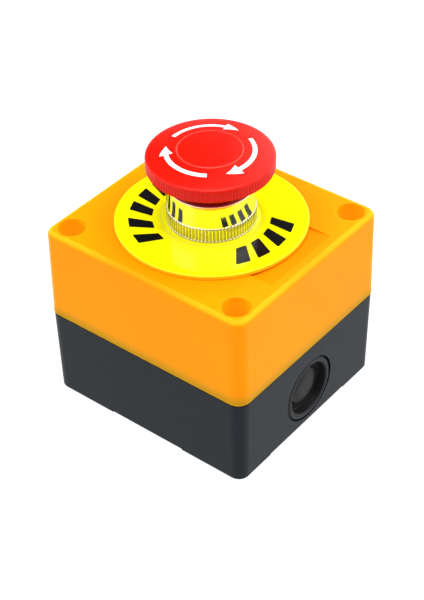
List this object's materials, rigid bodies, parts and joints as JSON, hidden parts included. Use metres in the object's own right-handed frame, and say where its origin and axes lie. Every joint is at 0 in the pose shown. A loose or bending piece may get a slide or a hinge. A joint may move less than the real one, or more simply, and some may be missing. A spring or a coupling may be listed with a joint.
{
  "type": "emergency stop button station",
  "caption": "Wall box with a yellow lid over a black base and a red mushroom push-lock, turn-to-release emergency stop button on a round yellow legend plate.",
  "frame": {"origin": "bottom centre of the box, on the plane of the corner feet that sit on the wall", "axes": "+Z out of the lid along the button axis, +X across the 72 mm width, +Y along the 77.5 mm length, with the cable entry in the -Y end"},
  "size_m": [0.072, 0.0776, 0.09],
  "materials": {
    "yellow_case": "satin moulded",
    "black_case": "satin moulded",
    "legend_yellow": "smooth printed",
    "red_head": "satin gloss",
    "dark_red": "satin moulded",
    "chrome_trim": "polished",
    "black_rubber": "matt",
    "black_plastic": "satin",
    "grey_plastic": "satin",
    "nc_red_plastic": "satin",
    "no_green_plastic": "satin",
    "zinc_steel": "zinc plated",
    "spring_steel": "drawn wire",
    "contact_brass": "stamped"
  },
  "bodies": {
    "housing": {"lid": "yellow_case", "base": "black_case", "lid_seal": "black_rubber", "lid_screws": "zinc_steel", "cable_grommet": "black_rubber", "legend_plate": "legend_yellow", "collar_nut": "chrome_trim", "front_seal": "black_rubber", "barrel": "black_plastic", "rear_gasket": "black_rubber", "carrier": "black_plastic", "carrier_screws": "zinc_steel", "block_screws": "zinc_steel", "nc_housing": "nc_red_plastic", "nc_cover": "nc_red_plastic", "nc_fixed_contacts": "contact_brass", "nc_spring": "spring_steel", "no_housing": "no_green_plastic", "no_cover": "no_green_plastic", "no_fixed_contacts": "contact_brass", "no_spring": "spring_steel", "terminal_screws": "zinc_steel", "clamp_washers": "zinc_steel", "return_spring": "spring_steel"},
    "pusher": {"push_rod": "grey_plastic", "drive_plate": "black_plastic", "drive_plate_screw": "zinc_steel", "retaining_clip": "spring_steel", "latch_spring": "spring_steel"},
    "head": {"mushroom_head": "red_head", "head_stem": "dark_red", "twist_spring": "spring_steel"},
    "latch_left": {"latch_pin_left": "zinc_steel"},
    "latch_right": {"latch_pin_right": "zinc_steel"},
    "nc_moving": {"nc_plunger": "grey_plastic", "nc_bridge": "contact_brass"},
    "no_moving": {"no_plunger": "grey_plastic", "no_bridge": "contact_brass"}
  },
  "joints": [
    {"name": "button_push", "type": "slide", "parent": "housing", "child": "pusher", "axis": [0, 0, -1], "range_m": [0, 0.005], "stiffness_N_per_m": 1500, "springref_m": -0.006, "deforming": ["return_spring"]},
    {"name": "head_twist", "type": "hinge", "parent": "pusher", "child": "head", "pos_m": [0, 0, 0.083], "axis": [0, 0, 1], "range_deg": [-40, 0], "stiffness_Nm_per_rad": 0.05, "springref_deg": 22.92},
    {"name": "nc_contact_slide", "type": "slide", "parent": "housing", "child": "nc_moving", "axis": [0, 0, -1], "range_m": [0, 0.005], "deforming": ["nc_spring"]},
    {"name": "no_contact_slide", "type": "slide", "parent": "housing", "child": "no_moving", "axis": [0, 0, -1], "range_m": [0, 0.005], "deforming": ["no_spring"]},
    {"name": "latch_left_slide", "type": "slide", "parent": "pusher", "child": "latch_left", "axis": [-1, 0, 0], "range_m": [0, 0.001]},
    {"name": "latch_right_slide", "type": "slide", "parent": "pusher", "child": "latch_right", "axis": [1, 0, 0], "range_m": [0, 0.001]}
  ],
  "couplings": [
    {"joint": "nc_contact_slide", "follows": "button_push", "ratio": 1},
    {"joint": "no_contact_slide", "follows": "button_push", "ratio": 1},
    {"joint": "latch_left_slide", "follows": "button_push", "ratio": 0.2},
    {"joint": "latch_right_slide", "follows": "button_push", "ratio": 0.2}
  ]
}
